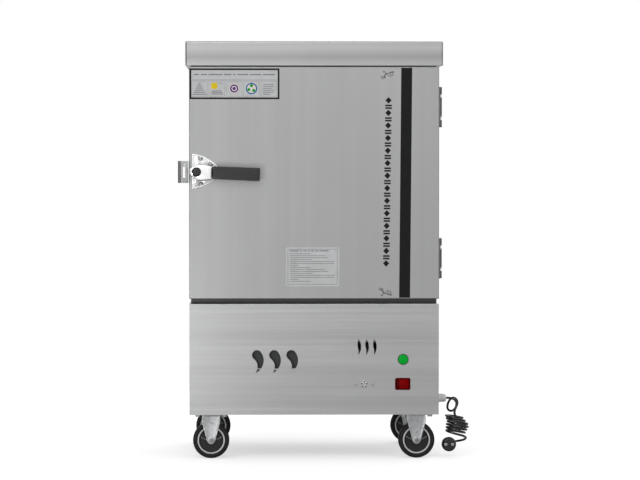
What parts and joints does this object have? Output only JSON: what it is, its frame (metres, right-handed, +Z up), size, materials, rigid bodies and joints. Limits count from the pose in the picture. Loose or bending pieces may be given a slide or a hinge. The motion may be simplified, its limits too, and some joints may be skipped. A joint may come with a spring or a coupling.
{
  "type": "rice steaming cart",
  "caption": "Upright gas steam cabinet for rice trays, with a hinged front door, a lever latch, a vented base and fixed casters, and a coiled mains cord on its side.",
  "frame": {"origin": "on the floor, below the middle of the cart's box", "axes": "+X to the right of the front, -Y out of the front, +Z up"},
  "size_m": [0.8045, 0.673, 1.145],
  "materials": {
    "panel_steel": "satin",
    "chamber_steel": "satin",
    "tray_steel": "satin",
    "bright_steel": "gloss",
    "zinc_steel": "satin",
    "cast_iron": "matte",
    "black_plastic": "satin",
    "grey_plastic": "matte",
    "red_plastic": "gloss",
    "green_lens": "gloss",
    "label_film": "satin",
    "seal_rubber": "matte",
    "insulation": "matte",
    "pipe_brass": "satin",
    "red_paint": "gloss",
    "grey_box": "satin",
    "tyre_rubber": "matte",
    "cord_rubber": "gloss"
  },
  "bodies": {
    "cabinet": {"top_cap": "panel_steel", "left_side_panel": "panel_steel", "right_side_panel": "panel_steel", "back_panel": "panel_steel", "front_frame": "panel_steel", "chamber_liner": "chamber_steel", "wall_insulation": "insulation", "tray_racks": "chamber_steel", "base_front_panel": "panel_steel", "base_left_panel": "panel_steel", "base_right_panel": "panel_steel", "base_back_panel": "panel_steel", "base_frame": "zinc_steel", "water_tank": "chamber_steel", "burner": "cast_iron", "gas_pipe": "pipe_brass", "control_box": "grey_box", "indicator_lamp": "green_lens", "switch_bezel": "red_plastic", "buzzer": "black_plastic", "cable_gland": "grey_plastic", "cord_lead": "cord_rubber", "cord_coil": "cord_rubber", "cord_tail": "cord_rubber", "mains_plug": "cord_rubber", "water_feed_box": "panel_steel", "drain_pipe": "chamber_steel", "steam_vent": "chamber_steel", "latch_keeper": "bright_steel", "hinge_frame_leaves": "bright_steel", "hinge_pins": "bright_steel", "cabinet_fasteners": "zinc_steel", "caster_forks": "zinc_steel"},
    "door": {"door_outer_skin": "panel_steel", "door_inner_skin": "panel_steel", "door_insulation": "insulation", "door_gasket": "seal_rubber", "door_stickers": "label_film", "hinge_door_leaves": "bright_steel", "latch_plate": "panel_steel", "door_screws": "zinc_steel"},
    "latch": {"latch_lever": "bright_steel", "latch_grip": "black_plastic", "latch_cap": "black_plastic"},
    "switch": {"switch_rocker": "red_plastic"},
    "drain_handle": {"drain_lever": "red_paint"},
    "tray_1": {"tray_1": "tray_steel"},
    "tray_2": {"tray_2": "tray_steel"},
    "tray_3": {"tray_3": "tray_steel"},
    "tray_4": {"tray_4": "tray_steel"},
    "tray_5": {"tray_5": "tray_steel"},
    "tray_6": {"tray_6": "tray_steel"},
    "wheel_front_left": {"tyre_front_left": "tyre_rubber", "wheel_core_front_left": "black_plastic"},
    "wheel_front_right": {"tyre_front_right": "tyre_rubber", "wheel_core_front_right": "black_plastic"},
    "wheel_back_left": {"tyre_back_left": "tyre_rubber", "wheel_core_back_left": "black_plastic"},
    "wheel_back_right": {"tyre_back_right": "tyre_rubber", "wheel_core_back_right": "black_plastic"}
  },
  "joints": [
    {"name": "door_hinge", "type": "hinge", "parent": "cabinet", "child": "door", "pos_m": [0.356, -0.2455, 0.7585], "axis": [0, 0, 1], "range_deg": [0, 180]},
    {"name": "latch_pivot", "type": "hinge", "parent": "door", "child": "latch", "pos_m": [-0.3115, -0.3035, 0.7884], "axis": [0, -1, 0], "range_deg": [0, 80]},
    {"name": "switch_rock", "type": "hinge", "parent": "cabinet", "child": "switch", "pos_m": [0.2525, -0.28625, 0.2077], "axis": [0, 0, 1], "range_deg": [0, 16]},
    {"name": "drain_turn", "type": "hinge", "parent": "cabinet", "child": "drain_handle", "pos_m": [-0.22, 0.3045, 0.2155], "axis": [0, 0, -1], "range_deg": [0, 90]},
    {"name": "tray_1_slide", "type": "slide", "parent": "cabinet", "child": "tray_1", "axis": [0, -1, 0], "range_m": [0, 0.08]},
    {"name": "tray_2_slide", "type": "slide", "parent": "cabinet", "child": "tray_2", "axis": [0, -1, 0], "range_m": [0, 0.08]},
    {"name": "tray_3_slide", "type": "slide", "parent": "cabinet", "child": "tray_3", "axis": [0, -1, 0], "range_m": [0, 0.08]},
    {"name": "tray_4_slide", "type": "slide", "parent": "cabinet", "child": "tray_4", "axis": [0, -1, 0], "range_m": [0, 0.08]},
    {"name": "tray_5_slide", "type": "slide", "parent": "cabinet", "child": "tray_5", "axis": [0, -1, 0], "range_m": [0, 0.08]},
    {"name": "tray_6_slide", "type": "slide", "parent": "cabinet", "child": "tray_6", "axis": [0, -1, 0], "range_m": [0, 0.08]},
    {"name": "wheel_front_left_spin", "type": "hinge", "parent": "cabinet", "child": "wheel_front_left", "pos_m": [-0.273, -0.228, 0.05], "axis": [0, 1, 0], "continuous": true},
    {"name": "wheel_front_right_spin", "type": "hinge", "parent": "cabinet", "child": "wheel_front_right", "pos_m": [0.293, -0.228, 0.05], "axis": [0, 1, 0], "continuous": true},
    {"name": "wheel_back_left_spin", "type": "hinge", "parent": "cabinet", "child": "wheel_back_left", "pos_m": [-0.273, 0.221, 0.05], "axis": [0, 1, 0], "continuous": true},
    {"name": "wheel_back_right_spin", "type": "hinge", "parent": "cabinet", "child": "wheel_back_right", "pos_m": [0.293, 0.221, 0.05], "axis": [0, 1, 0], "continuous": true}
  ]
}
